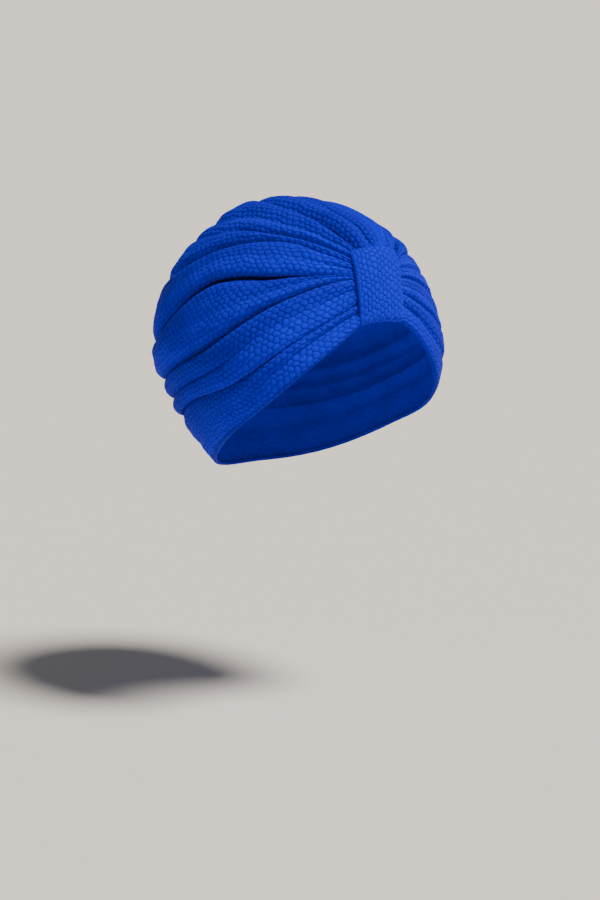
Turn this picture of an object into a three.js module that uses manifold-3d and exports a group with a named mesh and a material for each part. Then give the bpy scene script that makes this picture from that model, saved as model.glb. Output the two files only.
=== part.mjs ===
import * as THREE from 'three';
import { mergeVertices } from 'three/addons/utils/BufferGeometryUtils.js';
import Module from 'manifold-3d';

// Turban headwrap, worn shape. Millimetres, +Z up, front towards -Y, wearer's right towards -X.
// The origin is the centre of the head at its widest level.

// Outer envelope of the wrap, on the crests of its folds.
const HALF_WIDTH = 93.8;
const HALF_LENGTH = 106.8;
const PLAN_SQUARENESS = 2.28;
const RISE = 101.2;
const RISE_ROUNDNESS = 1.82;
const DROP = 118;
const DROP_ROUNDNESS = 1.72;
const CROWN_LEAN = 0.052;

// Where the folds pile up over the gather, and where the wrap lies flat on the brow below it:
// height in mm, and the pitch, rise and turn over which it spreads in degrees.
const PILE = { height: 15.9, pitch: 44.5, rise: 21.3, turn: 22.3 };
const BROW = { height: -6.85, pitch: 11.7, rise: 24.8, turn: 45.3 };

// Cloth.
const CLOTH = 2.2;
const PUFF = 2.2;

// The fan of folds: it starts at the gather on the brow and closes round the end of the top seam.
const GATHER_PITCH = 27.3;
const SEAM_END_PITCH = 58;

// Stations from the gather round to the centre back, as reach along the folds.
const STATIONS = { gather: 3.45, band: 2.9, brow: 2.3, temple: 1.7, side: 1.1, rear: 0.6, back: 0 };

// Each valley between two folds: its bearing at every station, in degrees round the gather from
// the top seam, and its depth in mm below the crests.
//                                    gather band  brow  temple side  rear  back
const WEARER_RIGHT = [
  { valley: 'top_seam',    bearing: [0, 0, 0, 0, 0, 0, 0], depth: [1, 2, 4, 3.5, 2, 0.6, 0] },
  { valley: 'crown_deep',  bearing: [12, 22, 22, 17, 17, 20, 24], depth: [1, 2, 5.5, 5, 3.5, 2.5, 2] },
  { valley: 'crown_soft',  bearing: [22, 31, 34, 32, 31, 36, 38], depth: [0.5, 1, 2, 1.8, 1.5, 1.5, 1.5] },
  { valley: 'upper_long',  bearing: [32, 39, 41, 39, 40, 47, 51], depth: [1, 1.8, 4, 4, 4, 3.5, 3] },
  { valley: 'broad_top',   bearing: [44, 49, 51, 45, 50, 64, 68], depth: [0.5, 1.5, 2, 2.5, 4, 4.5, 3.5] },
  { valley: 'mid_deep',    bearing: [58, 62, 68, 67, 66, 78, 80], depth: [1, 2, 6, 6, 6.5, 6, 5] },
  { valley: 'mid_crisp',   bearing: [72, 72, 79, 85, 90, 87.5, 86], depth: [1, 1.8, 4, 4.5, 4.5, 5, 4] },
  { valley: 'nape_pinch',  bearing: [95, 95, 97, 97, 97, 92.5, 90], depth: [0, 0, 0, 0, 1.5, 3.5, 3] },
  { valley: 'lower_lap',   bearing: [113, 115, 112, 109, 105, 97.5, 94], depth: [1, 1.8, 2.5, 2.5, 2.5, 4, 3] },
  { valley: 'rim_soft',    bearing: [128, 129, 120, 115, 112, 104.5, 98], depth: [0.5, 1.5, 2, 1.5, 0.5, 1.5, 1.5] },
  { valley: 'rim',         bearing: [148, 148, 136, 126, 119, 111, 102], depth: [1, 1, 1, 1, 1, 1, 1] },
];
const WEARER_LEFT = [
  { valley: 'top_seam',    bearing: [0, 0, 0, 0, 0, 0, 0], depth: [1, 2, 4, 3.5, 2, 0.6, 0] },
  { valley: 'crown_deep',  bearing: [12, 18, 18, 17, 17, 20, 24], depth: [0.5, 1, 1.5, 1.2, 1.2, 1.5, 2] },
  { valley: 'crown_soft',  bearing: [22, 28, 31, 32, 33, 36, 38], depth: [1, 1.5, 3, 3, 1.5, 1, 1.5] },
  { valley: 'upper_long',  bearing: [33, 40, 44.5, 45, 46, 49, 51], depth: [1, 1.8, 4, 3.5, 2.5, 2.5, 3] },
  { valley: 'broad_top',   bearing: [44, 47, 55, 63, 65, 67, 68], depth: [1, 1.8, 4, 3, 2.5, 3, 3.5] },
  { valley: 'mid_deep',    bearing: [58, 62, 72, 80, 81, 80, 80], depth: [0.5, 1, 1.2, 1.2, 2, 3.5, 5] },
  { valley: 'mid_crisp',   bearing: [72, 78, 84.5, 90, 91, 88, 86], depth: [1, 1.8, 3.5, 3.5, 3.5, 4, 4] },
  { valley: 'nape_pinch',  bearing: [92, 93, 98, 101, 99, 94, 90], depth: [0, 0, 0, 0.5, 1.5, 2.5, 3] },
  { valley: 'lower_lap',   bearing: [108, 106, 109.5, 110, 105, 99, 94], depth: [1, 1.8, 4.5, 4.5, 4, 3.5, 3] },
  { valley: 'rim_soft',    bearing: [125, 123, 121.5, 123, 115, 105, 98], depth: [0.5, 1.5, 2.5, 2.5, 2, 1.5, 1.5] },
  { valley: 'rim',         bearing: [148, 150, 136, 133, 125, 112, 102], depth: [1, 1, 1, 1, 1, 1, 1] },
];

// Facets: where each fold is sampled from valley to valley, and steps from the gather to the back.
const ACROSS_FOLD = [0, 0.14, 0.38, 0.62, 0.86];
const STEPS_TO_BACK = 18;
const STEP_EASE = 1.3;

// Keeper loop: a flat loop closed round the gather.
const BAND_WIDTH = 36;
const BAND_CLOTH = 2.6;
const BAND_TOP_PITCH = 38.5;
const BAND_BOTTOM_PITCH = 15.6;
const BAND_STAND_OFF = 0.5;
const BAND_INSIDE = 5.2;
const BAND_EDGE_ROUND = 0.8;
const LOOP_STEPS_UP = 10;
const LOOP_STEPS_TURN = 5;
const WIDTH_STEPS = 6;
const CLEARANCE = 0.35;

// Solving for points on the envelope straight ahead: rounds of correction, and the half step in
// degrees over which its slope is taken.
const SOLVE_ROUNDS = 12;
const SLOPE_STEP = 0.5;

const ROYAL_BLUE = 0x0b3fc4;
const CLOTH_ROUGHNESS = 0.9;

const RIGHT = -1;
const LEFT = 1;
const rad = THREE.MathUtils.degToRad;
const gatherDir = new THREE.Vector3(0, -Math.cos(rad(GATHER_PITCH)), Math.sin(rad(GATHER_PITCH)));
const seamEndDir = new THREE.Vector3(0, Math.cos(rad(SEAM_END_PITCH)), Math.sin(rad(SEAM_END_PITCH)));
const stationReach = Object.values(STATIONS);

// Height of a local swelling of the envelope in a unit direction.
function swell({ height, pitch, rise, turn }, d) {
  const up = (THREE.MathUtils.radToDeg(Math.atan2(d.z, -d.y)) - pitch) / rise;
  const aside = THREE.MathUtils.radToDeg(Math.asin(THREE.MathUtils.clamp(d.x, -1, 1))) / turn;
  return height * Math.exp(-up * up - aside * aside);
}

// Distance from the origin to the envelope along a unit direction.
function envelopeRadius(d) {
  const up = d.z > 0;
  const y = d.y - (up ? CROWN_LEAN * d.z : 0);
  const plan = Math.pow(
    Math.pow(Math.abs(d.x) / HALF_WIDTH, PLAN_SQUARENESS) + Math.pow(Math.abs(y) / HALF_LENGTH, PLAN_SQUARENESS),
    1 / PLAN_SQUARENESS,
  );
  const roundness = up ? RISE_ROUNDNESS : DROP_ROUNDNESS;
  const reach = Math.abs(d.z) / (up ? RISE : DROP);
  const dome = Math.pow(Math.pow(plan, roundness) + Math.pow(reach, roundness), -1 / roundness);
  return dome + swell(PILE, d) + swell(BROW, d);
}

// Direction of a point of the fan: folds run along `reach`, and `bearing` turns round the gather.
function fanDirection(reach, bearing, side) {
  const along = seamEndDir.dot(gatherDir);
  const forward = gatherDir.clone().addScaledVector(seamEndDir, -along).normalize();
  const sideways = new THREE.Vector3(side, 0, 0);
  const span = Math.tan(Math.acos(along) / 2);
  const share = Math.cosh(reach) + Math.cos(rad(bearing));
  const re = Math.sinh(reach) / share;
  const im = Math.sin(rad(bearing)) / share;
  const f = span * (re * re - im * im);
  const s = span * 2 * re * im;
  const q = f * f + s * s;
  return seamEndDir.clone().multiplyScalar((1 - q) / (1 + q))
    .addScaledVector(forward, 2 * f / (1 + q))
    .addScaledVector(sideways, 2 * s / (1 + q));
}

// Smooth reading of a row of station values; level at the centre back, where both sides meet.
function readRow(values, reach) {
  const last = stationReach.length - 1;
  let k = 0;
  while (k < last - 1 && reach < stationReach[k + 1]) k += 1;
  const slope = (i) => {
    if (i === 0) return (values[1] - values[0]) / (stationReach[1] - stationReach[0]);
    if (i === last) return 0;
    return (values[i + 1] - values[i - 1]) / (stationReach[i + 1] - stationReach[i - 1]);
  };
  const gap = stationReach[k + 1] - stationReach[k];
  const t = THREE.MathUtils.clamp((reach - stationReach[k]) / gap, 0, 1);
  const t2 = t * t;
  const t3 = t2 * t;
  return (2 * t3 - 3 * t2 + 1) * values[k] + (t3 - 2 * t2 + t) * gap * slope(k)
    + (3 * t2 - 2 * t3) * values[k + 1] + (t3 - t2) * gap * slope(k + 1);
}

// How much of a valley's depth is left at a share of the way to the next valley.
function valleyFade(share) {
  return Math.pow(Math.max(0, 1 - 2 * share), PUFF);
}

function outerPoint(rows, row, share, reach, side) {
  const here = rows[row];
  const next = rows[Math.min(row + 1, rows.length - 1)];
  const bearing = THREE.MathUtils.lerp(readRow(here.bearing, reach), readRow(next.bearing, reach), share);
  const depth = readRow(here.depth, reach) * valleyFade(share)
    + readRow(next.depth, reach) * valleyFade(1 - share);
  const d = fanDirection(reach, bearing, side);
  return d.multiplyScalar(envelopeRadius(d) - depth);
}

function geometryOf(points, triangles) {
  const geometry = new THREE.BufferGeometry();
  geometry.setAttribute('position', new THREE.Float32BufferAttribute(points.flatMap((p) => [p.x, p.y, p.z]), 3));
  geometry.setIndex(triangles.flat());
  return geometry;
}

// The crown: outer sheet of both sides, joined at the top seam and the centre back, its inner
// sheet one cloth inside it, closed along the rim and round the opening that the loop covers.
function crownGeometry() {
  const rowsAcross = (WEARER_RIGHT.length - 1) * ACROSS_FOLD.length;
  const outer = [];
  const ids = { [RIGHT]: [], [LEFT]: [] };
  for (const side of [RIGHT, LEFT]) {
    const rows = side === RIGHT ? WEARER_RIGHT : WEARER_LEFT;
    for (let j = 0; j <= STEPS_TO_BACK; j += 1) {
      ids[side][j] = [];
      const reach = STATIONS.gather * Math.pow(1 - j / STEPS_TO_BACK, STEP_EASE);
      for (let i = 0; i <= rowsAcross; i += 1) {
        const shared = side === LEFT && (i === 0 || j === STEPS_TO_BACK);
        if (shared) {
          ids[side][j][i] = ids[RIGHT][j][i];
          continue;
        }
        const row = Math.floor(i / ACROSS_FOLD.length);
        const share = ACROSS_FOLD[i % ACROSS_FOLD.length];
        ids[side][j][i] = outer.length;
        outer.push(outerPoint(rows, row, share, reach, side));
      }
    }
  }
  const skin = [];
  for (const side of [RIGHT, LEFT]) {
    for (let j = 0; j < STEPS_TO_BACK; j += 1) {
      for (let i = 0; i < rowsAcross; i += 1) {
        const a = ids[side][j][i];
        const b = ids[side][j + 1][i];
        const c = ids[side][j + 1][i + 1];
        const d = ids[side][j][i + 1];
        const pair = [[a, b, d], [b, c, d]];
        skin.push(...(side === RIGHT ? pair : pair.map(([p, q, r]) => [p, r, q])));
      }
    }
  }
  const sheet = geometryOf(outer, skin);
  sheet.computeVertexNormals();
  const normal = sheet.getAttribute('normal');
  const count = outer.length;
  const inner = outer.map((p, k) => p.clone().addScaledVector(
    new THREE.Vector3().fromBufferAttribute(normal, k), -CLOTH,
  ));
  const turned = skin.map(([p, q, r]) => [p + count, r + count, q + count]);
  const all = [...skin, ...turned];

  // Open edge of the outer sheet, each step as it runs in its own face, closed to the inner one.
  const seen = new Set(skin.flatMap(([p, q, r]) => [`${p}_${q}`, `${q}_${r}`, `${r}_${p}`]));
  for (const [p, q, r] of skin) {
    for (const [m, n] of [[p, q], [q, r], [r, p]]) {
      if (!seen.has(`${n}_${m}`)) all.push([n, m, m + count], [n, m + count, n + count]);
    }
  }
  return geometryOf([...outer, ...inner], all);
}

// Point of the envelope straight ahead of the middle at a pitch, moved sideways and outwards.
function frontPoint(pitch, across, offset) {
  const at = (x, angle) => {
    let r = HALF_LENGTH;
    for (let k = 0; k < SOLVE_ROUNDS; k += 1) {
      const p = new THREE.Vector3(x, -r * Math.cos(angle), r * Math.sin(angle));
      const length = p.length();
      r *= envelopeRadius(p.divideScalar(length)) / length;
    }
    return new THREE.Vector3(x, -r * Math.cos(angle), r * Math.sin(angle));
  };
  const nudge = rad(SLOPE_STEP);
  const p = at(across, pitch);
  const upward = at(across, pitch + nudge).sub(at(across, pitch - nudge)).normalize();
  const sideward = at(across + 1, pitch).sub(at(across - 1, pitch)).normalize();
  return p.addScaledVector(sideward.cross(upward).normalize(), offset);
}

// The loop: its centreline runs up the front, turns in at the top, comes down inside and turns
// out under the rim. `grow` thickens it on every side, for the room it needs in the crown.
function loopGeometry(grow) {
  const front = BAND_STAND_OFF + BAND_CLOTH / 2;
  const inside = -BAND_INSIDE - BAND_CLOTH / 2;
  const middle = (front + inside) / 2;
  const radius = (front - inside) / 2;
  const top = rad(BAND_TOP_PITCH);
  const bottom = rad(BAND_BOTTOM_PITCH);
  const path = [];
  for (let k = 0; k <= LOOP_STEPS_UP; k += 1) {
    path.push({ pitch: THREE.MathUtils.lerp(bottom, top, k / LOOP_STEPS_UP), offset: front, out: 1, on: 0 });
  }
  for (let k = 1; k < LOOP_STEPS_TURN; k += 1) {
    const turn = Math.PI * k / LOOP_STEPS_TURN;
    path.push({ pitch: top, offset: middle + radius * Math.cos(turn), out: Math.cos(turn), on: Math.sin(turn) });
  }
  for (let k = LOOP_STEPS_UP; k >= 0; k -= 1) {
    path.push({ pitch: THREE.MathUtils.lerp(bottom, top, k / LOOP_STEPS_UP), offset: inside, out: -1, on: 0 });
  }
  for (let k = 1; k < LOOP_STEPS_TURN; k += 1) {
    const turn = Math.PI * k / LOOP_STEPS_TURN;
    path.push({ pitch: bottom, offset: middle - radius * Math.cos(turn), out: -Math.cos(turn), on: -Math.sin(turn) });
  }
  const half = BAND_CLOTH / 2 + grow;
  const wide = BAND_WIDTH / 2 + grow;
  const section = [];
  for (let k = 0; k <= WIDTH_STEPS; k += 1) {
    const share = k / WIDTH_STEPS;
    const edge = share === 0 || share === 1 ? BAND_EDGE_ROUND : 0;
    section.push({ across: THREE.MathUtils.lerp(-wide, wide, share), lift: half - edge });
  }
  for (let k = WIDTH_STEPS; k >= 0; k -= 1) {
    const share = k / WIDTH_STEPS;
    const edge = share === 0 || share === 1 ? BAND_EDGE_ROUND : 0;
    section.push({ across: THREE.MathUtils.lerp(-wide, wide, share), lift: edge - half });
  }
  const points = [];
  for (const step of path) {
    for (const { across, lift } of section) {
      const base = frontPoint(step.pitch, across, step.offset + lift * step.out);
      const rise = frontPoint(step.pitch + rad(SLOPE_STEP), across, 0)
        .sub(frontPoint(step.pitch - rad(SLOPE_STEP), across, 0)).normalize();
      points.push(base.addScaledVector(rise, (radius + lift) * step.on));
    }
  }
  const triangles = [];
  const n = section.length;
  for (let k = 0; k < path.length; k += 1) {
    for (let m = 0; m < n; m += 1) {
      const a = k * n + m;
      const b = ((k + 1) % path.length) * n + m;
      const c = ((k + 1) % path.length) * n + (m + 1) % n;
      const d = k * n + (m + 1) % n;
      triangles.push([a, d, c], [a, c, b]);
    }
  }
  return geometryOf(points, triangles);
}

function toSolid(wasm, geometry) {
  const merged = mergeVertices(geometry);
  return new wasm.Manifold(new wasm.Mesh({
    numProp: 3,
    vertProperties: new Float32Array(merged.getAttribute('position').array),
    triVerts: new Uint32Array(merged.getIndex().array),
  }));
}

function fromSolid(solid) {
  const mesh = solid.getMesh();
  const geometry = new THREE.BufferGeometry();
  geometry.setAttribute('position', new THREE.Float32BufferAttribute(mesh.vertProperties, 3));
  geometry.setIndex(Array.from(mesh.triVerts));
  return geometry;
}

const wasm = await Module();
wasm.setup();

const crownSolid = toSolid(wasm, crownGeometry()).subtract(toSolid(wasm, loopGeometry(CLEARANCE)));

const blueJersey = (name) => new THREE.MeshStandardMaterial({
  name, color: ROYAL_BLUE, roughness: CLOTH_ROUGHNESS, metalness: 0,
});

const crown = new THREE.Mesh(fromSolid(crownSolid), blueJersey('crown_jersey'));
crown.name = 'crown';

const frontBand = new THREE.Mesh(loopGeometry(0), blueJersey('band_jersey'));
frontBand.name = 'front_band';

const turban = new THREE.Group();
turban.add(crown, frontBand);

export default turban;
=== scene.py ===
# Turban headwrap in honeycomb jersey, as worn: a fan of folds round a gather on the brow,
# and the flat keeper loop over the gather. Metres, +Z up, front towards -Y.
import math
import bpy
import numpy as np
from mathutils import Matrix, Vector


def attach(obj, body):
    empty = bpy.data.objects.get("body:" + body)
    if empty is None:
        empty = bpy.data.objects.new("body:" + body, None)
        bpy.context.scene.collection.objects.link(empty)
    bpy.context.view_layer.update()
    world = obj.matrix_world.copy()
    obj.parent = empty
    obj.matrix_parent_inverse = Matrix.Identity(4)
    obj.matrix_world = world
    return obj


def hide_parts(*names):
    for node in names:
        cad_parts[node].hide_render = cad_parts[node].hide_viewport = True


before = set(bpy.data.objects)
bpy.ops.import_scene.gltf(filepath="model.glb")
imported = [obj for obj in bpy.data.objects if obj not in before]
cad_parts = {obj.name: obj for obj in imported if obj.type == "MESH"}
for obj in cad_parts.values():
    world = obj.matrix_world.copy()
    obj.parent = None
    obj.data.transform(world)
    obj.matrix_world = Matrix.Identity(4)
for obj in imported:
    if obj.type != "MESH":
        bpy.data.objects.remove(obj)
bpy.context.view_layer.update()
print("frame loaded:", list(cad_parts))

mm = 0.001
deg = math.pi / 180


def linear(hexColour):
    # sRGB hex to the linear colour that a socket takes
    channels = [int(hexColour[i:i + 2], 16) / 255 for i in (1, 3, 5)]
    return tuple(c / 12.92 if c <= 0.04045 else ((c + 0.055) / 1.055) ** 2.4 for c in channels) + (1.0,)


def addNode(tree, kind, inputs=None, **settings):
    # an input is linked where a socket is given, and set where a value is
    node = tree.nodes.new(kind)
    for name, value in settings.items():
        setattr(node, name, value)
    for key, value in (inputs or {}).items():
        socket = node.inputs[key]
        if isinstance(value, bpy.types.NodeSocket):
            tree.links.new(value, socket)
        else:
            socket.default_value = value
    return node


def makeObject(name, points, faces):
    mesh = bpy.data.meshes.new(name)
    mesh.from_pydata(points.tolist(), [], faces)
    mesh.update()
    obj = bpy.data.objects.new(name, mesh)
    bpy.context.scene.collection.objects.link(obj)
    return obj


def dressMesh(obj, uv, fields):
    # the flat cloth as a UV map in metres, a value of each field at each point, smooth shading
    layer = obj.data.uv_layers.new(name="cloth")
    layer.data.foreach_set("uv", np.asarray(uv).astype(np.float32).ravel())
    for name, values in fields.items():
        attribute = obj.data.attributes.new(name, "FLOAT", "POINT")
        attribute.data.foreach_set("value", values.astype(np.float32).ravel())
    obj.data.polygons.foreach_set("use_smooth", [True] * len(obj.data.polygons))


# Camera, light and floor
view = {
    "azimuth": -36,               # degrees round the wrap, 0 looks at its front
    "pitch": 10.1,                # degrees down
    "distance": 2.36,             # m from the centre of the wrap
    "lens": 135, "film": 36,      # mm, the film along the height of the picture
    "picture": (600, 900),        # pixels
    "centrePixel": (299, 340),    # where the wrap's origin falls in the picture
    "far": 50,                    # m, past the floor's edge
}


def setCamera():
    turn, down = view["azimuth"] * deg, view["pitch"] * deg
    right = Vector((math.cos(turn), math.sin(turn), 0))
    ahead = Vector((-math.sin(turn) * math.cos(down), math.cos(turn) * math.cos(down), -math.sin(down)))
    up = right.cross(ahead)
    wide, high = view["picture"]
    column, row = view["centrePixel"]
    focal = view["lens"] / view["film"] * high       # in pixels
    ray = ahead * focal + right * (column - wide / 2) + up * (high / 2 - row)
    data = bpy.data.cameras.new("camera")
    data.lens = view["lens"]
    data.sensor_width = view["film"]
    data.clip_end = view["far"]
    camera = bpy.data.objects.new("camera", data)
    camera.location = -ray.normalized() * view["distance"]
    camera.rotation_euler = (math.pi / 2 - down, 0, turn)
    bpy.context.scene.collection.objects.link(camera)
    bpy.context.scene.camera = camera


studio = {
    "key": {"azimuth": 19, "height": 58, "softness": 15, "power": 5.2, "colour": "#FFF8F0"},   # degrees
    "sky": {"colour": "#F1F2F6", "strength": 0.15},
    "floor": {"colour": "#E9E4DD", "roughness": 0.9, "level": -0.262, "half": 25.0},     # m
}


def setStudio():
    key, sky, board = studio["key"], studio["sky"], studio["floor"]
    data = bpy.data.lights.new("key", "SUN")
    data.angle = key["softness"] * deg
    data.energy = key["power"]
    data.color = linear(key["colour"])[:3]
    lamp = bpy.data.objects.new("key", data)
    lamp.rotation_euler = (math.pi / 2 - key["height"] * deg, 0, key["azimuth"] * deg)
    bpy.context.scene.collection.objects.link(lamp)
    world = bpy.data.worlds.new("studio")
    world.use_nodes = True
    background = world.node_tree.nodes["Background"]
    background.inputs["Color"].default_value = linear(sky["colour"])
    background.inputs["Strength"].default_value = sky["strength"]
    bpy.context.scene.world = world

    corners = np.array([(-1, -1, 0), (1, -1, 0), (1, 1, 0), (-1, 1, 0)]) * board["half"]
    floor = makeObject("floor", corners + (0, 0, board["level"]), [(0, 1, 2, 3)])
    paint = bpy.data.materials.new("matt pale studio board")     # no pattern, takes a soft shadow
    paint.use_nodes = True
    shader = paint.node_tree.nodes["Principled BSDF"]
    shader.inputs["Base Color"].default_value = linear(board["colour"])
    shader.inputs["Roughness"].default_value = board["roughness"]
    floor.data.materials.append(paint)


setCamera()
setStudio()
print("camera, light and floor placed")

# Form of the wrap: the outer envelope, on the crests of the folds, in mm and degrees
form = {
    "halfWidth": 93.8, "halfLength": 106.8, "planSquareness": 2.28,
    "rise": 101.2, "riseRoundness": 1.82, "drop": 118, "dropRoundness": 1.72, "lean": 0.052,
    "pile": (15.9, 44.5, 21.3, 22.3),     # folds piled over the gather: height, pitch, rise, turn
    "brow": (-6.85, 11.7, 24.8, 45.3),    # flat where the wrap lies on the brow, in the same order
    "gatherPitch": 27.3, "seamEndPitch": 58,
}


def mound(kind, d):
    # mm that a heap or a flat adds to the envelope in a direction
    height, pitch, rise, turn = form[kind]
    up = (np.arctan2(d[..., 2], -d[..., 1]) / deg - pitch) / rise
    aside = np.arcsin(np.clip(d[..., 0], -1, 1)) / deg / turn
    return height * np.exp(-up ** 2 - aside ** 2)


def envelopeRadius(d):
    # mm from the wrap's centre to the envelope, in a direction of length 1
    isUp = d[..., 2] > 0
    y = d[..., 1] - np.where(isUp, form["lean"] * d[..., 2], 0)
    n = form["planSquareness"]
    plan = (np.abs(d[..., 0]) / form["halfWidth"]) ** n + (np.abs(y) / form["halfLength"]) ** n
    plan = plan ** (1 / n)
    roundness = np.where(isUp, form["riseRoundness"], form["dropRoundness"])
    reach = np.abs(d[..., 2]) / np.where(isUp, form["rise"], form["drop"])
    dome = (plan ** roundness + reach ** roundness) ** (-1 / roundness)
    return dome + mound("pile", d) + mound("brow", d)


gatherDir = np.array([0, -math.cos(form["gatherPitch"] * deg), math.sin(form["gatherPitch"] * deg)])
seamEndDir = np.array([0, math.cos(form["seamEndPitch"] * deg), math.sin(form["seamEndPitch"] * deg)])


def fanDirection(reach, bearing, side):
    # the fan: folds run along reach, from 0 at the centre back to the gather, and bearing turns
    # round the gather in degrees, from 0 on the top seam
    along = seamEndDir @ gatherDir
    forward = gatherDir - along * seamEndDir
    forward /= np.linalg.norm(forward)
    span = math.tan(math.acos(along) / 2)
    share = np.cosh(reach) + np.cos(bearing * deg)
    w = (np.sinh(reach) + 1j * np.sin(bearing * deg)) / share
    z = span * w * w
    q = np.abs(z) ** 2
    return (((1 - q) / (1 + q))[..., None] * seamEndDir + (2 * z.real / (1 + q))[..., None] * forward
            + (2 * z.imag / (1 + q))[..., None] * np.array([side, 0, 0]))


# Crown, in mm
crown = {
    "stations": (3.45, 2.9, 2.3, 1.7, 1.1, 0.6, 0.0),   # reach at gather band brow temple side rear back
    "columns": 168, "columnEase": 1.12,                 # from the gather to the back, closer at the back
    "rows": 222, "fewestRows": 9, "rowsForEdges": 3,    # of the outer face, and of one fold
    "rowsByRun": 0.7, "runSteps": 120,  # how far rows are spaced by the run of the cloth, read in steps
    "insideEvery": 5, "insideLast": 3,  # outer rows for one inside, and from the rim to its last
    "cloth": 2.2,
    "hemRound": 1.35, "hemSteps": 5, "hemRun": 0.85,    # radius and steps of its turn, mm of cloth a step
    "hemFrom": 3,                       # rows over which the hem's direction is read
    "backBlend": 0.7,                   # reach over which both sides' flanks grow alike
    "slope": (1.7, 0.5),                # of an unrolled flank: its power and its fill
    "tube": 0.45,                       # lack of room that makes a fold a round tube, and its roll
    "lipDepth": (0.5, 4),               # mm of depth where a lip starts, and to its full lean
    "dark": (7.0, 1.5),                 # mm of depth where the painted shade is full, and how late it darkens
    "shade": 0.42, "shadeReach": 9,     # painted shade of the cloth under a deep fold, and mm to where it is darkest
    "shadeDepth": (2, 5),               # mm of depth where such shade starts, and to its full strength
    # painted shade along the rolled hem, and on the outer rows just before it
    "hemShade": 0.6, "hemShadeRows": 2,
    "hemRelief": 0.5, "insideRelief": -0.35,      # the back of the jersey shows hollows
    "reliefGap": (0.6, 1.6),            # mm from a break where the relief starts, and to its full height
    "reliefEnd": 0.35,                  # reach over which it ends under the loop
    "stretch": (0.8, 0.86, 0.95, 0.97, 0.89, 0.88, 0.88),  # of the cloth along the folds, by station
    "spread": (0.74, 0.8, 0.88, 0.97, 1.0, 1.0, 1.0),      # and across them
}
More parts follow.
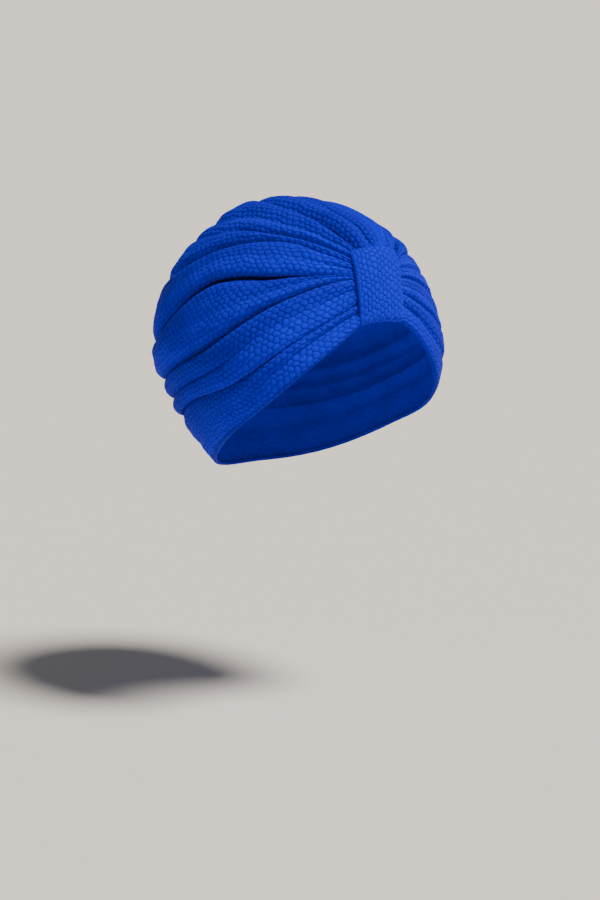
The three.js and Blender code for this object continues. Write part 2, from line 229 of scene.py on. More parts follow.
# Valleys between folds: bearing in degrees and depth in mm at each station, for the wearer's right
# and left. above and below are the flanks: width in mm, roll (1 a tight rolled edge, 0 a slope)
# and lip, how far in mm that edge leans out over the valley. swell lifts the fold below the
# valley, in mm by station. breaks: a fold too deep to follow the pattern of the cloth through.
valleys = [
    {"name": "top seam", "breaks": True,
     "right": {"above": (8, 1, 0), "below": (9, 1, 2),
               "bearing": (0, 0, 0, 0, 0, 0, 0),
               "depth": (1.5, 6, 13, 12, 6, 1.2, 0), "swell": (0, 0, 0.6, 0.6, 0, 0, 0)},
     "left": {"above": (8, 1, 0), "below": (22, 0.1, 0),
              "bearing": (0, 0, 0, 0, 0, 0, 0),
              "depth": (1.5, 6, 13, 12, 6, 1.2, 0), "swell": (0, -1, -2.2, -2.2, -1, 0, 0)}},
    {"name": "crown deep", "breaks": True,
     "right": {"above": (11, 0.3, 0), "below": (5, 1, 1.2),
               "bearing": (13, 24, 23.6, 18.2, 17, 14.6, 17.5),
               "depth": (1.5, 6, 12.5, 12, 8, 5, 3), "swell": (0, 0, 0, 0.5, 1.6, 1.4, 0)},
     "left": {"above": (9, 0.2, 0), "below": (7, 0.2, 0),
              "bearing": (12, 18, 18, 17, 17, 18.5, 17.5),
              "depth": (0.5, 1, 1.6, 1.8, 2.4, 3, 3)}},
    {"name": "crown soft", "breaks": False,
     "right": {"above": (9, 0, 0), "below": (7, 0, 0),
               "bearing": (22, 30.3, 33, 30.6, 30, 36, 39),
               "depth": (0.5, 1.4, 2.2, 2.4, 2.2, 2.2, 2)},
     "left": {"above": (10, 0.2, 0), "below": (8, 0.4, 0),
              "bearing": (22, 28, 31, 32, 33, 36, 39),
              "depth": (1, 3, 5, 5, 2.6, 1.6, 2)}},
    {"name": "upper long", "breaks": True,
     "right": {"above": (9, 0.3, 0), "below": (5, 1, 1.6),
               "bearing": (32, 38.6, 40.8, 39, 39.8, 46.6, 50),
               "depth": (1.5, 4.5, 8, 8, 6.5, 3.2, 3.5)},
     "left": {"above": (8, 0.6, 0), "below": (6, 1, 1),
              "bearing": (35, 42.4, 46.5, 46, 46, 49, 50),
              "depth": (1.5, 6.5, 9.5, 7, 5, 5, 3.5), "swell": (0, 3.4, 2.8, 0.5, 0, 0, 0)}},
    {"name": "broad top", "breaks": True,
     "right": {"above": (9, 0.3, 0), "below": (5.5, 1, 1.6),
               "bearing": (44, 47, 48, 44, 49.4, 60, 65.5),
               "depth": (1, 2.6, 3.6, 5, 7.8, 8.2, 5)},
     "left": {"above": (5, 1, 1), "below": (6, 1, 1.4),
              "bearing": (45.5, 49.5, 54.5, 62, 65, 67, 65.5),
              "depth": (1.5, 6.5, 9, 7.5, 6, 5.5, 5)}},
    {"name": "short tuck", "breaks": False,
     "right": {"above": (5, 0.5, 0), "below": (5, 0.8, 0.6),
               "bearing": (52, 54.3, 57, 56, 57, 69, 72),
               "depth": (0.8, 3.4, 1.6, 0, 0, 0, 0)},
     "left": {"above": (5, 0.5, 0), "below": (5, 0.5, 0),
              "bearing": (51, 52.5, 60, 69, 72, 73, 72),
              "depth": (0.5, 1.5, 0.5, 0, 0, 0, 0)}},
    {"name": "mid deep", "breaks": True,
     "right": {"above": (9, 1, 3), "below": (12, 0.2, 0),
               "bearing": (59, 62.5, 66.4, 65.4, 63.5, 74.6, 78),
               "depth": (1.5, 4.5, 9.5, 10, 10.5, 10, 7), "swell": (0, 0, -2, -2.4, 0, 1.4, 1.2)},
     "left": {"above": (8, 0.4, 0), "below": (8, 0.4, 0),
              "bearing": (58, 60, 68, 75, 78, 79, 78),
              "depth": (0.5, 1.6, 2.6, 3, 4, 6.5, 7), "swell": (0, 0, 0, 0, 0, 0.4, 1.2)}},
    {"name": "mid tuck", "breaks": False,
     "right": {"above": (5, 0, 0), "below": (6, 0.6, 0.4),
               "bearing": (65, 66.5, 70, 76.4, 79.5, 80.5, 80.5),
               "depth": (0.8, 2, 3.4, 3, 0.7, -1.4, -1.2), "swell": (0, 0, 0, 0, 0.3, 1.4, 1.2)},
     "left": {"above": (5, 0, 0), "below": (6, 0.5, 0),
              "bearing": (65, 67, 74, 81, 85, 84, 80.5),
              "depth": (0.5, 1, 0.8, 0.4, 0, -0.4, -1.2), "swell": (0, 0, 0, 0, 0, 0.4, 1.2)}},
    {"name": "mid crisp", "breaks": True,
     "right": {"above": (9, 0.3, 0), "below": (5, 1, 1.6),
               "bearing": (71.5, 71.5, 78.7, 84.9, 89.6, 86.8, 83.5),
               "depth": (1.5, 4.5, 8.5, 9.5, 9.5, 8, 6), "swell": (0, 0, 0, 0, 0, -0.4, 0)},
     "left": {"above": (9, 0.4, 0), "below": (5, 1, 1.4),
              "bearing": (72, 75.8, 80.5, 87.6, 91, 88.5, 83.5),
              "depth": (1.5, 5, 8.5, 8, 6.5, 6.5, 6)}},
    {"name": "nape pinch", "breaks": False,
     "right": {"above": (8, 0.5, 0), "below": (6, 0.8, 1.2),
               "bearing": (92, 90, 95.8, 96.2, 97.6, 92, 87),
               "depth": (1, 2.6, 0.6, 0, 2.6, 6.8, 5.5), "swell": (0, 0, 0, 0, 0, -0.5, 0)},
     "left": {"above": (8, 0.3, 0), "below": (6, 0.5, 0),
              "bearing": (90, 89, 93, 98, 97.5, 93.5, 87),
              "depth": (0.5, 1, 0.8, 0.6, 2, 4.5, 5.5)}},
    {"name": "lower lap", "breaks": True,
     "right": {"above": (5, 1, 1.6), "below": (12, 0.3, 0),
               "bearing": (113.4, 114.8, 111.6, 108.8, 105.4, 95.9, 90.5),
               "depth": (1.5, 3.8, 6, 6, 6, 7, 6), "swell": (0, 0, 0, 0, 0, -1.5, -1)},
     "left": {"above": (9, 0.4, 0), "below": (5, 1, 1.4),
              "bearing": (107.8, 102.8, 103.2, 104.6, 103.2, 97.5, 90.5),
              "depth": (1.5, 4, 7.5, 7.5, 6.5, 6.5, 6), "swell": (0, 0, 0, 0, 0, -0.5, -1)}},
    {"name": "rim soft", "breaks": False,
     "right": {"above": (9, 0, 0), "below": (8, 0, 0),
               "bearing": (128, 129, 120, 115, 112, 104.4, 97.5),
               "depth": (0.8, 2.6, 3.6, 2.8, 1.4, 2.6, 2.4), "swell": (0, 0, 0, 0, 0, -1.5, -1)},
     "left": {"above": (7, 0.4, 0), "below": (5, 0.8, 0.8),
              "bearing": (124.2, 120.7, 118, 119.8, 112.8, 104.2, 97.5),
              "depth": (0.8, 3.4, 5.5, 5, 3.4, 2.6, 2.4), "swell": (0, 0, 0, 0, 0, -0.5, -1)}},
    {"name": "rim", "breaks": False,
     "right": {"above": (5, 0.5, 0), "below": (5, 0, 0),
               "bearing": (148, 148, 136, 126, 119, 111, 102),
               "depth": (1, 1, 0.8, 0.8, 0.8, 0.8, 0.8)},
     "left": {"above": (5, 0.5, 0), "below": (5, 0, 0),
              "bearing": (148, 150, 136, 133, 125, 112, 102),
              "depth": (1, 1, 0.8, 0.8, 0.8, 0.8, 0.8)}},
]
noSwell = (0,) * len(crown["stations"])


def readRow(values, reach):
    # smooth reading of a row of station values, level at the centre back
    x = -np.array(crown["stations"])
    v = np.array(values, float)
    slope = np.zeros(len(x))
    slope[1:-1] = (v[2:] - v[:-2]) / (x[2:] - x[:-2])
    slope[0] = (v[1] - v[0]) / (x[1] - x[0])
    at = -np.asarray(reach, float)
    k = np.clip(np.searchsorted(x, at, side="right") - 1, 0, len(x) - 2)
    gap = x[k + 1] - x[k]
    t = np.clip((at - x[k]) / gap, 0, 1)
    return ((2 * t ** 3 - 3 * t ** 2 + 1) * v[k] + (t ** 3 - 2 * t ** 2 + t) * gap * slope[k]
            + (3 * t ** 2 - 2 * t ** 3) * v[k + 1] + (t ** 3 - t ** 2) * gap * slope[k + 1])


def flank(distance, width, roll):
    # share of a valley's depth left at a distance from its bottom
    power, fill = crown["slope"]
    s = np.clip(distance / width, 0, 1)
    rolled = 1 - np.sqrt(np.clip(1 - (1 - s) ** 2, 0, 1))
    sloped = (1 - s) ** power * (1 + fill * s)
    return roll * rolled + (1 - roll) * sloped


def lean(distance, width):
    # sideways lean of a rolled edge, 1 at a third of its width, none at the bottom and on the fold
    s = np.clip(distance / width, 0, 1)
    return 27 / 4 * s * (1 - s) ** 2


def flankSizes(valley, key, place, reach):
    # width, roll and lip of a flank, the same on both sides at the centre back
    other = "left" if key == "right" else "right"
    own = np.clip(reach / crown["backBlend"], 0, 1)[:, None]
    own = 0.5 + own ** 2 * (3 - 2 * own) / 2
    return [a * own + b * (1 - own) for a, b in zip(valley[key][place], valley[other][place])]


def foldPoints(upper, lower, key, reach, share, inside):
    # points at a share of the way from the upper valley's bottom to the lower one's, and how much
    # shade is painted there
    sign = -1 if key == "right" else 1
    widthBelow, rollBelow, lipBelow = flankSizes(upper, key, "below", reach)
    widthAbove, rollAbove, lipAbove = flankSizes(lower, key, "above", reach)
    if inside:
        rollBelow = rollAbove = lipBelow = lipAbove = 0
    bearing = [readRow(valley[key]["bearing"], reach)[:, None] for valley in (upper, lower)]
    depth = [readRow(valley[key]["depth"], reach)[:, None] for valley in (upper, lower)]
    puffed = readRow(upper[key].get("swell", noSwell), reach)[:, None]
    ends = []
    for b in bearing:
        d = fanDirection(reach[:, None], b, sign)
        ends.append(d * envelopeRadius(d)[..., None])
    width = np.linalg.norm(ends[1] - ends[0], axis=2)

    room = width / (widthBelow + widthAbove)
    tube = np.clip((1 - room) / crown["tube"], 0, 1)
    below = np.minimum(1, room) * widthBelow * (1 - tube) + 0.5 * width * tube
    above = np.minimum(1, room) * widthAbove * (1 - tube) + 0.5 * width * tube
    rollBelow = np.maximum(rollBelow, crown["tube"] * tube)
    rollAbove = np.maximum(rollAbove, crown["tube"] * tube)
    fromUpper, fromLower = share * width, (1 - share) * width
    top, bottom = flank(fromUpper, below, rollBelow), flank(fromLower, above, rollAbove)
    sunk = depth[0] * top + depth[1] * bottom - puffed * (1 - top) * (1 - bottom)

    lipFrom, lipOver = crown["lipDepth"]
    tight = [np.clip((deep - lipFrom) / lipOver, 0, 1) for deep in depth]
    moved = lipAbove * tight[1] * lean(fromLower, above) * np.minimum(1, room) \
        - lipBelow * tight[0] * lean(fromUpper, below) * np.minimum(1, room)
    b = bearing[0] + (bearing[1] - bearing[0]) * (share + moved / np.maximum(width, 1))
    d = fanDirection(reach[:, None] + 0 * share, b, sign)

    # painted shade: darker deeper in a valley, and on the cloth a little under a deep fold
    darkDepth, darkPower = crown["dark"]
    paintedShade = np.clip(np.maximum(depth[0] * top, depth[1] * bottom) / darkDepth, 0, 1) ** darkPower
    shadeFrom, shadeOver = crown["shadeDepth"]
    away = fromUpper / crown["shadeReach"]
    shaded = crown["shade"] * np.clip((depth[0] - shadeFrom) / shadeOver, 0, 1) * away * np.exp(1 - away)
    return d * (envelopeRadius(d) - sunk)[..., None], np.maximum(paintedShade, shaded)


def rowPlan():
    # rows for each fold by its usual width, more where it has deep edges
    temple, rear = 3, 5
    weight = []
    for upper, lower in zip(valleys[:-1], valleys[1:]):
        widths = [lower[side]["bearing"][k] - upper[side]["bearing"][k]
                  for side in ("right", "left") for k in (temple, rear)]
        edges = (upper["right"]["depth"][temple] + lower["right"]["depth"][temple]) / 2
        weight.append(sum(widths) / 4 + crown["rowsForEdges"] + edges)
    share = np.array(weight) / sum(weight)
    return np.maximum(crown["fewestRows"], np.round(share * crown["rows"])).astype(int)


def sideSurface(key, reach, counts, inside=False):
    # one side of the crown, [column from the gather to the back, row from the seam to the rim]
    blocks, paintedShades = [], []
    for upper, lower, steps in zip(valleys[:-1], valleys[1:], counts):
        even = np.linspace(0, 1, crown["runSteps"] + 1)[None] + 0 * reach[:, None]
        trial, _ = foldPoints(upper, lower, key, reach, even, inside)
        run = np.concatenate([np.zeros((len(reach), 1)),
                              np.cumsum(np.linalg.norm(np.diff(trial, axis=1), axis=2), axis=1)], axis=1)
        run = crown["rowsByRun"] * run / run[:, -1:] + (1 - crown["rowsByRun"]) * even
        last = steps + 1 if lower is valleys[-1] else steps
        wanted = np.arange(last) / steps
        share = np.array([np.interp(wanted, r, e) for r, e in zip(run, even)])
        points, paintedShade = foldPoints(upper, lower, key, reach, share, inside)
        blocks.append(points)
        paintedShades.append(paintedShade)
    return np.concatenate(blocks, axis=1), np.concatenate(paintedShades, axis=1)


# Ripple of the gathered cloth, in mm
ripples = {
    "height": 0.3, "waves": 6, "seeds": {"right": 11, "left": 12},
    "long": (60, 140), "wide": (8, 22), "sway": (0.5, 1.4), "phase": (0, 6.3),
    "even": 3.4,                        # brings the sum of the waves to about 1
    "backFade": 0.5, "loopFade": (3.0, 0.8), "edgeFade": 12,     # reach, reach and its length, mm
}


def ripple(along, across, seed):
    # gentle uneven waves that run with the folds and swell and fade along them
    pick = np.random.default_rng(seed)
    total = 0
    for _ in range(ripples["waves"]):
        long, wide = pick.uniform(*ripples["long"]), pick.uniform(*ripples["wide"])
        sway = pick.uniform(*ripples["sway"])
        phase, start = pick.uniform(*ripples["phase"]), pick.uniform(*ripples["phase"])
        bent = 2 * math.pi * across / wide + sway * np.sin(2 * math.pi * along / long + start)
        fading = 0.6 + 0.4 * np.sin(2 * math.pi * along / (long * 0.7) + phase)
        total = total + np.sin(bent + phase) * fading
    return total / ripples["even"]


def rippleCalm(across, reach):
    # none at the centre back, under the loop, along the top seam and along the rim
    loopFrom, loopOver = ripples["loopFade"]
    atEnds = np.minimum(1, reach / ripples["backFade"]) * np.clip((loopFrom - reach) / loopOver, 0, 1)
    atEdges = np.clip(across / ripples["edgeFade"], 0, 1) \
        * np.clip((across[:, -1:] - across) / ripples["edgeFade"], 0, 1)
    return atEnds[:, None] * atEdges


def clothRun(outer, reach, panelOf):
    # mm on the flat cloth, of one side: along the folds from the gather, across them over all
    # the folds as they lie, and across them from the middle of each point's own panel
    stretch, spread = readRow(crown["stretch"], reach), readRow(crown["spread"], reach)
    step = np.linalg.norm(np.diff(outer, axis=1), axis=2)
    across = np.concatenate([np.zeros((len(outer), 1)), np.cumsum(step, axis=1)], axis=1)
    along, fromMiddle = np.zeros_like(across), np.zeros_like(across)
    for panel in range(panelOf[-1] + 1):
        rows = np.where(panelOf == panel)[0]
        centre = (rows[0] + rows[-1]) // 2
        run = np.linalg.norm(np.diff(outer[:, centre], axis=0), axis=1) / (stretch[1:] + stretch[:-1]) * 2
        along[:, rows] = np.concatenate([[0], np.cumsum(run)])[:, None]
        fromMiddle[:, rows] = (across[:, rows] - across[:, [centre]]) / spread[:, None]
    return along, across, fromMiddle


def reliefNear(across, firstRow):
    # share of the relief, none where a fold breaks the cloth
    gap, over = crown["reliefGap"]
    distance = np.min([np.abs(across - across[:, [row]])
                       for row, valley in zip(firstRow, valleys) if valley["breaks"]], axis=0)
    return np.clip((distance - gap) / over, 0, 1)


def hemRows(outer):
    # the rim rolls in through half a turn to the inner face
    rim = outer[:, -1]
    down = rim - outer[:, -1 - crown["hemFrom"]]
    down /= np.linalg.norm(down, axis=1, keepdims=True)
    inward = -rim / np.linalg.norm(rim, axis=1, keepdims=True)
    inward -= (inward * down).sum(1, keepdims=True) * down
    inward /= np.linalg.norm(inward, axis=1, keepdims=True)
    r = crown["hemRound"]
    turns = np.linspace(0, math.pi, crown["hemSteps"] + 1)[1:]
    hem = [rim + down * r * math.sin(a) + inward * r * (1 - math.cos(a)) for a in turns]
    return np.array(hem).transpose(1, 0, 2)


def edgePolygons(column, rowCount, kept):
    # faces that close the wall's edge under the loop, from its outer rows to the inner ones
    firstInner = rowCount + crown["hemSteps"]
    order, inside = kept[::-1], column[firstInner:][::-1]
    polygons = []
    for m in range(len(order) - 1):
        outside = column[order[m]:order[m + 1] + 1][::-1]
        polygons.append(outside.tolist() + inside[m:m + 2].tolist())
    turned = np.concatenate([column[order[-1]:rowCount - 1], column[rowCount - 1:firstInner + 1]])
    polygons.append(turned[::-1].tolist())
    return polygons


def buildCrown():
    counts = rowPlan()
    firstRow = np.concatenate([[0], np.cumsum(counts)])
    rowCount = int(firstRow[-1]) + 1
    foldOf = np.searchsorted(firstRow, np.arange(rowCount), side="right") - 1
    foldOf[-1] = len(counts) - 1
    panelOf = (np.cumsum([v["breaks"] for v in valleys[:-1]]) - 1)[foldOf]
    n, hemSteps = crown["columns"], crown["hemSteps"]
    reach = crown["stations"][0] * (1 - np.arange(n + 1) / n) ** crown["columnEase"]
    kept = np.array(sorted(set(range(0, rowCount, crown["insideEvery"]))
                           | {rowCount - crown["insideLast"]}))[::-1]

    sheet, cloth, near, deep = {}, {}, {}, {}
    for key in ("right", "left"):
        outer, deep[key] = sideSurface(key, reach, counts)
        along, across, fromMiddle = clothRun(outer, reach, panelOf)
        wave = ripple(along, across, ripples["seeds"][key])
        length = np.linalg.norm(outer, axis=2, keepdims=True)
        outer *= 1 + (ripples["height"] * wave * rippleCalm(across, reach))[..., None] / length
        if key == "right":
            backRun = along[-1]
        else:
            along = backRun + along[-1] - along      # the cloth runs on round the back
        cloth[key] = np.stack([along, fromMiddle], -1)
        near[key] = reliefNear(across, firstRow)
        soft, _ = sideSurface(key, reach, counts, inside=True)
        soft *= 1 - crown["cloth"] / np.linalg.norm(soft, axis=2, keepdims=True)
        sheet[key] = np.concatenate([outer, hemRows(outer), soft[:, kept]], axis=1)

    # number the points, those on the centre line once for both sides
    rows = sheet["right"].shape[1]
    ids = {"right": np.arange((n + 1) * rows).reshape(n + 1, rows)}
    ids["left"] = ids["right"] + (n + 1) * rows
    ids["left"][n] = ids["right"][n]
    ids["left"][:, 0] = ids["right"][:, 0]
    ids["left"][:, -1] = ids["right"][:, -1]
    points = np.concatenate([sheet["right"].reshape(-1, 3), sheet["left"].reshape(-1, 3)])
    both = np.concatenate([ids["right"].ravel(), ids["left"].ravel()])
    used, number = np.unique(both, return_inverse=True)
    ids = dict(zip(("right", "left"), number.reshape(2, n + 1, rows)))
    points = points[used]

    source = np.concatenate([np.arange(rowCount), np.full(hemSteps, rowCount - 1), kept])
    panel = panelOf[source]
    hemRun = np.zeros(rows)
    hemRun[rowCount:rowCount + hemSteps] = np.arange(1, hemSteps + 1) * crown["hemRun"]
    jj, ii = np.meshgrid(np.arange(n), np.arange(rows - 1), indexing="ij")
    own = np.where(ii < rowCount, panel[ii], panel[np.minimum(ii + 1, rows - 1)])

    def clothAt(key, dj, di):
        # where a fold breaks the cloth, a face keeps the map of its own panel
        row, before = source[ii + di], source[ii + 1 - di]
        at = cloth[key][jj + dj, row].copy()
        gap = np.linalg.norm(sheet[key][jj + dj, ii + di] - sheet[key][jj + dj, ii + 1 - di], axis=-1)
        onward = np.stack([0 * gap, gap * np.where(row > before, 1, -1)], -1)
        beyond = cloth[key][jj + dj, before] + onward
        crossed = panelOf[row] != own
        at[crossed] = beyond[crossed]
        at[..., 1] += hemRun[ii + di]
        return at

    faces, uv = [], []
    relief, paintedShade = np.zeros(len(points)), np.zeros(len(points))
    for key in ("right", "left"):
        turnRound = -1 if key == "left" else 1       # the left side is wound the other way
        corners = [(0, 0), (1, 0), (1, 1), (0, 1)][::turnRound]
        faces += np.stack([ids[key][jj + dj, ii + di] for dj, di in corners], -1).reshape(-1, 4).tolist()
        uv.append(np.stack([clothAt(key, dj, di) for dj, di in corners], -2).reshape(-1, 2))
        value = near[key][:, source] * np.clip((reach[0] - reach) / crown["reliefEnd"], 0, 1)[:, None]
        value[:, rowCount:rowCount + hemSteps] *= crown["hemRelief"]
        value[:, rowCount + hemSteps:] *= crown["insideRelief"]
        relief[ids[key]] = value
        # painted shade of the folds on the outer face, none inside, and painted shade along the hem
        shade = deep[key][:, source].copy()
        shade[:, rowCount:] = 0
        shade[:, rowCount - crown["hemShadeRows"]:rowCount + hemSteps] = crown["hemShade"]
        paintedShade[ids[key]] = shade
    for key in ("right", "left"):
        for polygon in edgePolygons(ids[key][0], rowCount, kept):
            faces.append(polygon if key == "left" else polygon[::-1])
            uv.append(np.zeros((len(polygon), 2)))
    obj = makeObject("gathered_crown", points * mm, faces)
    dressMesh(obj, np.concatenate(uv) * mm, {"relief": relief, "paintedShade": paintedShade})
    return obj


# Keeper loop, in mm and degrees
band = {
    "width": 36, "cloth": 2.6, "topPitch": 38.5, "bottomPitch": 16.2,
    "arch": 0.9,                          # degrees that the foot rises in the middle
    "standOff": 0.5, "inside": 5.2,       # of the front and of the hidden back, from the crown's crests
    "pillow": 0.7,                        # how much the front is puffed in its middle
    "curl": (1.3, 8), "topCurl": (0.52, 4),       # mm it bends in over its last degrees, foot and top
    "rowsUp": 40, "rowsTurn": 14, "rowsInside": 16, "across": 36, "edge": 7,
    "reliefFade": (1.2, 6),               # relief left along its long edges, and how late it ends
}


def frontPoint(pitch, across, offset):
    # point of the envelope ahead of the middle at a pitch, moved sideways and outwards, and the
    # direction up the front there
    def onEnvelope(x, angle):
        r = np.full(np.broadcast(x, angle).shape, float(form["halfLength"]))
        for _ in range(12):       # closes in on the envelope
            p = np.stack([x + 0 * r, -r * np.cos(angle), r * np.sin(angle)], -1)
            length = np.linalg.norm(p, axis=-1)
            r = r * envelopeRadius(p / length[..., None]) / length
        return np.stack([x + 0 * r, -r * np.cos(angle), r * np.sin(angle)], -1)
    a, tick = pitch * deg, 0.5 * deg
    upward = onEnvelope(across, a + tick) - onEnvelope(across, a - tick)
    sideward = onEnvelope(across + 1, a) - onEnvelope(across - 1, a)
    out = np.cross(sideward, upward)
    out /= np.linalg.norm(out, axis=-1, keepdims=True)
    upward /= np.linalg.norm(upward, axis=-1, keepdims=True)
    return onEnvelope(across, a) + out * offset[..., None], upward


def bandPath():
    # once round the loop, a row each: pitch, offset from the crests, and how far the cloth's
    # outer face looks outwards and upwards
    front = band["standOff"] + band["cloth"] / 2
    inside = -band["inside"] - band["cloth"] / 2
    middle, radius = (front + inside) / 2, (front - inside) / 2
    low, high = band["bottomPitch"], band["topPitch"]
    turn = np.linspace(0, math.pi, band["rowsTurn"] + 1)[1:-1]
    path = [(a, front, 1, 0) for a in np.linspace(low, high, band["rowsUp"] + 1)]
    path += [(high, middle + radius * math.cos(t), math.cos(t), math.sin(t)) for t in turn]
    path += [(a, inside, -1, 0) for a in np.linspace(high, low, band["rowsInside"] + 1)]
    path += [(low, middle - radius * math.cos(t), -math.cos(t), -math.sin(t)) for t in turn]
    return np.array(path), radius


def bandSection():
    # across the loop, a point each: mm aside and mm out of the cloth's middle, its edges rounded
    half, wide = band["cloth"] / 2, band["width"] / 2
    turn = math.pi * np.arange(1, band["edge"]) / band["edge"]
    section = [(x, half) for x in np.linspace(-wide + half, wide - half, band["across"] + 1)]
    section += [(wide - half + half * math.sin(a), half * math.cos(a)) for a in turn]
    section += [(x, -half) for x in np.linspace(wide - half, -wide + half, band["across"] // 3 + 1)]
    section += [(-wide + half - half * math.sin(a), -half * math.cos(a)) for a in turn]
    return np.array(section)


def runOf(points):
    # mm run along points to each of them, and once round back to the first
    run = np.concatenate([[0], np.cumsum(np.linalg.norm(np.diff(points, axis=0), axis=1))])
    return np.append(run, run[-1] + np.linalg.norm(points[0] - points[-1]))


def buildBand():
    path, radius = bandPath()
    section = bandSection()
    pitch, offset, out, on = (path[:, k][:, None] for k in range(4))
    across, lift = section[:, 0][None], section[:, 1][None]
    wide = band["width"] / 2
    curl, curlPitch = band["curl"]
    topCurl, topCurlPitch = band["topCurl"]
    low = np.clip((band["bottomPitch"] + curlPitch - pitch) / curlPitch, 0, 1)
    high = np.clip((pitch - band["topPitch"] + topCurlPitch) / topCurlPitch, 0, 1)
    puffed = band["pillow"] * (1 - (across / wide) ** 2) * np.clip(out, 0, 1) * (lift > 0)
    puffed = puffed - (curl * low ** 2 + topCurl * high ** 2) * (out > 0)
    arched = pitch + band["arch"] * low * (1 - (across / wide) ** 2)
    points, upward = frontPoint(arched, across + 0 * pitch, offset + (lift + puffed) * out)
    points = points + upward * ((radius + lift) * on)[..., None]

    rows, cols = points.shape[:2]
    run, girth = runOf(points[:, band["across"] // 2]), runOf(section)
    faces, uv = [], []
    for j in range(rows):
        for i in range(cols):
            quad = [(j, i), (j, i + 1), (j + 1, i + 1), (j + 1, i)]
            faces.append([(a % rows) * cols + b % cols for a, b in quad])
            uv += [(run[a] * mm, (girth[b] - wide) * mm) for a, b in quad]
    edgeRelief, fadePower = band["reliefFade"]
    relief = np.clip(edgeRelief - np.abs(across / wide) ** fadePower + 0 * out, 0, 1) * (lift > -0.5)
    obj = makeObject("keeper_loop", points.reshape(-1, 3) * mm, faces)
    dressMesh(obj, uv, {"relief": relief})
    return obj


# Honeycomb of the jersey, in mm
honeycomb = {
    "crown": {"pitch": 5.6, "row": 3.7, "relief": 0.3, "bump": 0.62},
    "band": {"pitch": 4.6, "row": 3.05, "relief": 0.26, "bump": 0.7},
    "roundness": 3.2,                     # of a bubble, higher is flatter with a narrower groove
    "uneven": (12, 0.6), "wobble": (4.2, 0.42),       # drift of the cells: its size and its strength
}
# The hexagon pattern, a line for each sum: its name, the sum, and what goes into it. u and v
# are the cloth's own map. distance is 0 in the middle of a bubble of the jersey and 0.5 in the
# groove round it, puff is 1 in the middle and 0 in the groove.
hexagonSums = (
    ("x", "DIVIDE", ("u", "pitch")),
    ("y", "DIVIDE", ("v", "row")),
    ("a", "PINGPONG", ("x", 0.5)),
    ("b", "PINGPONG", ("y", 1.0)),
    ("halfA", "MULTIPLY", ("a", 0.5)),
    ("slantA", "MULTIPLY_ADD", ("b", 0.75, "halfA")),
    ("first", "MAXIMUM", ("a", "slantA")),
    ("c", "SUBTRACT", (0.5, "a")),
    ("d", "SUBTRACT", (1.0, "b")),
    ("halfC", "MULTIPLY", ("c", 0.5)),
    ("slantC", "MULTIPLY_ADD", ("d", 0.75, "halfC")),
    ("second", "MAXIMUM", ("c", "slantC")),
    ("distance", "MINIMUM", ("first", "second")),
    ("double", "MULTIPLY", ("distance", 2.0)),
    ("steep", "POWER", ("double", "roundness")),
    ("puff", "SUBTRACT", (1.0, "steep")),
)


def hexagons(tree, uv, pitch, row, roundness):
    # sockets for the distance and the puff of the honeycomb, on a map of the flat cloth
    at = uv
    for size, strength in (honeycomb["uneven"], honeycomb["wobble"]):
        noise = addNode(tree, "ShaderNodeTexNoise",
                        {"Vector": uv, "Scale": 1 / (size * mm), "Detail": 0.0}, noise_dimensions="2D")
        drift = addNode(tree, "ShaderNodeVectorMath", {0: noise.outputs["Color"], 1: (0.5, 0.5, 0.5)},
                        operation="SUBTRACT")
        step = (strength * 4 * mm,) * 3       # the noise strays about a quarter from its middle
        at = addNode(tree, "ShaderNodeVectorMath", {0: drift.outputs[0], 1: step, 2: at},
                     operation="MULTIPLY_ADD").outputs[0]
    split = addNode(tree, "ShaderNodeSeparateXYZ", {0: at})
    known = {"u": split.outputs["X"], "v": split.outputs["Y"],
             "pitch": pitch, "row": row, "roundness": roundness}
    for name, operation, values in hexagonSums:
        inputs = {k: known.get(value, value) for k, value in enumerate(values)}
        known[name] = addNode(tree, "ShaderNodeMath", inputs, operation=operation).outputs[0]
    return known["distance"], known["puff"]


def reliefTree():
    # pushes the cloth out along its normals in puffed hexagons, as far as its relief field says
    tree = bpy.data.node_groups.new("honeycomb relief", "GeometryNodeTree")
    face, cells = tree.interface, honeycomb["crown"]
    face.new_socket("Cloth", in_out="INPUT", socket_type="NodeSocketGeometry")
    for name, value in (("Bubble pitch", cells["pitch"] * mm), ("Row spacing", cells["row"] * mm),
                        ("Relief height", cells["relief"] * mm),
                        ("Bubble roundness", honeycomb["roundness"])):
        socket = face.new_socket(name, in_out="INPUT", socket_type="NodeSocketFloat")
        socket.default_value = value
    face.new_socket("Finish", in_out="INPUT", socket_type="NodeSocketMaterial")
    face.new_socket("Cloth", in_out="OUTPUT", socket_type="NodeSocketGeometry")
    entry = addNode(tree, "NodeGroupInput").outputs
    uv = addNode(tree, "GeometryNodeInputNamedAttribute", {"Name": "cloth"}, data_type="FLOAT_VECTOR")
    mask = addNode(tree, "GeometryNodeInputNamedAttribute", {"Name": "relief"}, data_type="FLOAT")
    _, puff = hexagons(tree, uv.outputs["Attribute"], entry["Bubble pitch"], entry["Row spacing"],
                       entry["Bubble roundness"])
    full = addNode(tree, "ShaderNodeMath", {0: puff, 1: entry["Relief height"]}, operation="MULTIPLY")
    height = addNode(tree, "ShaderNodeMath", {0: full.outputs[0], 1: mask.outputs["Attribute"]},
                     operation="MULTIPLY")
    normal = addNode(tree, "GeometryNodeInputNormal")
    offset = addNode(tree, "ShaderNodeVectorMath", {0: normal.outputs[0], "Scale": height.outputs[0]},
                     operation="SCALE")
    moved = addNode(tree, "GeometryNodeSetPosition", {"Geometry": entry["Cloth"],
                                                      "Offset": offset.outputs[0]})
    real = addNode(tree, "GeometryNodeRealizeInstances", {"Geometry": moved.outputs[0]})
    painted = addNode(tree, "GeometryNodeSetMaterial", {"Geometry": real.outputs[0],
                                                        "Material": entry["Finish"]})
    addNode(tree, "NodeGroupOutput", {"Cloth": painted.outputs[0]})
    return tree


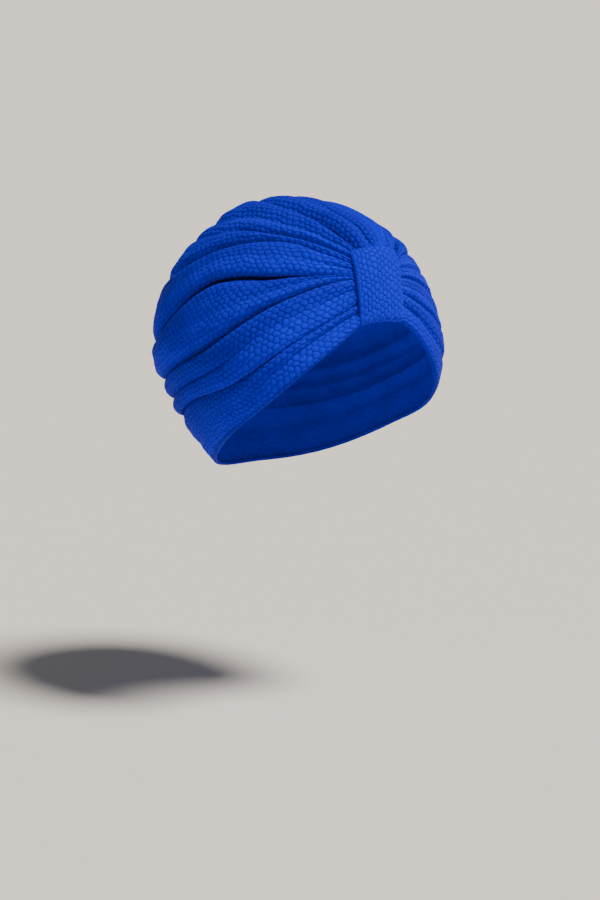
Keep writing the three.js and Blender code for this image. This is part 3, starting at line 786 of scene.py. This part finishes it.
def applyTree(obj, tree, values):
    modifier = obj.modifiers.new(tree.name, "NODES")
    modifier.node_group = tree
    for item in tree.interface.items_tree:
        if item.in_out == "INPUT" and item.name in values:
            modifier[item.identifier] = values[item.name]
    graph = bpy.context.evaluated_depsgraph_get()
    mesh = bpy.data.meshes.new_from_object(obj.evaluated_get(graph), preserve_all_data_layers=True,
                                           depsgraph=graph)
    obj.modifiers.remove(modifier)
    obj.data = mesh


# Dyed stretch jersey: colours, painted shade among them, shares of the darker ones, sizes in mm and the
# finish
jerseyLook = {
    "face": "#000AEE", "deep": "#0007BA", "patch": 16.67,     # uneven dye and wear, in soft patches
    # painted shade in the grooves round the bubbles: its colour, its share and where it starts
    "groove": "#000470", "grooveShadeShare": 0.34, "grooveShadeFrom": 0.3,
    "paintedShade": "#000350", "paintedShadeShare": 0.75,                 # painted shade between the folds, where little light gets down
    "fibre": 0.714, "fibreHeight": 0.05, "fibreStrength": 0.6,    # coarser than real yarn, so it shows
    "finish": {"Roughness": 0.85, "Specular IOR Level": 0.16,
               "Sheen Weight": 0.07, "Sheen Roughness": 0.5, "Sheen Tint": linear("#5C86FF")},
}


def jersey(name, cells):
    # matt stretch jersey knitted in puffed hexagons: dull all over, with painted shade in the grooves
    # and in the hollows between the folds, and a faint bloom at the edges
    look = jerseyLook
    material = bpy.data.materials.new(name)
    material.use_nodes = True
    tree = material.node_tree
    shader = tree.nodes["Principled BSDF"]
    for socket, value in look["finish"].items():
        shader.inputs[socket].default_value = value
    uv = addNode(tree, "ShaderNodeUVMap", uv_map="cloth")
    mask = addNode(tree, "ShaderNodeAttribute", attribute_name="relief")
    # the field of painted shade of the folds and the hem
    deep = addNode(tree, "ShaderNodeAttribute", attribute_name="paintedShade")
    place = addNode(tree, "ShaderNodeTexCoord")
    distance, puff = hexagons(tree, uv.outputs["UV"], cells["pitch"] * mm, cells["row"] * mm,
                              honeycomb["roundness"])

    patches = addNode(tree, "ShaderNodeTexNoise", {"Vector": place.outputs["Object"],
                                                   "Scale": 1 / (look["patch"] * mm), "Detail": 4.0})
    tone = addNode(tree, "ShaderNodeMix", {"Factor": patches.outputs["Fac"], "A": linear(look["deep"]),
                                           "B": linear(look["face"])}, data_type="RGBA")
    # painted shade in the grooves round the bubbles, only where the relief is
    groove = addNode(tree, "ShaderNodeMapRange", {"Value": distance, "From Min": look["grooveShadeFrom"],
                                                  "From Max": 0.5}, interpolation_type="SMOOTHSTEP")
    onFace = addNode(tree, "ShaderNodeMath", {0: groove.outputs["Result"], 1: mask.outputs["Fac"]},
                     operation="MULTIPLY")
    grooveShadeShare = addNode(tree, "ShaderNodeMath", {0: onFace.outputs[0], 1: look["grooveShadeShare"]},
                          operation="MULTIPLY")
    grooveShaded = addNode(tree, "ShaderNodeMix", {"Factor": grooveShadeShare.outputs[0], "A": tone.outputs["Result"],
                                           "B": linear(look["groove"])}, data_type="RGBA")
    # mixes in the painted shade of the folds and the hem
    paintedShadeShare = addNode(tree, "ShaderNodeMath", {0: deep.outputs["Fac"], 1: look["paintedShadeShare"]},
                          operation="MULTIPLY")
    colour = addNode(tree, "ShaderNodeMix", {"Factor": paintedShadeShare.outputs[0],
                                             "A": grooveShaded.outputs["Result"],
                                             "B": linear(look["paintedShade"])}, data_type="RGBA")
    tree.links.new(colour.outputs["Result"], shader.inputs["Base Color"])

    height = addNode(tree, "ShaderNodeMath", {0: puff, 1: mask.outputs["Fac"]}, operation="MULTIPLY")
    bump = addNode(tree, "ShaderNodeBump", {"Height": height.outputs[0], "Distance": cells["bump"] * mm,
                                            "Strength": 1.0})
    fibre = addNode(tree, "ShaderNodeTexNoise", {"Vector": place.outputs["Object"],
                                                 "Scale": 1 / (look["fibre"] * mm), "Detail": 2.0})
    grain = addNode(tree, "ShaderNodeBump", {"Height": fibre.outputs["Fac"], "Normal": bump.outputs[0],
                                             "Distance": look["fibreHeight"] * mm,
                                             "Strength": look["fibreStrength"]})
    tree.links.new(grain.outputs[0], shader.inputs["Normal"])
    return material


tree = reliefTree()
print("relief tree made")
crownObject = buildCrown()
bandObject = buildBand()
for obj, part, label in ((crownObject, "crown", "crown"), (bandObject, "band", "loop")):
    cells = honeycomb[part]
    applyTree(obj, tree, {"Bubble pitch": cells["pitch"] * mm, "Row spacing": cells["row"] * mm,
                          "Relief height": cells["relief"] * mm,
                          "Bubble roundness": honeycomb["roundness"],
                          "Finish": jersey("royal blue honeycomb jersey, " + label, cells)})
    print(label + ":", len(obj.data.polygons), "faces")

for obj, node, slotName in ((crownObject, "crown", "crown_jersey"),
                            (bandObject, "front_band", "band_jersey")):
    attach(obj, "root")
    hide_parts(node)
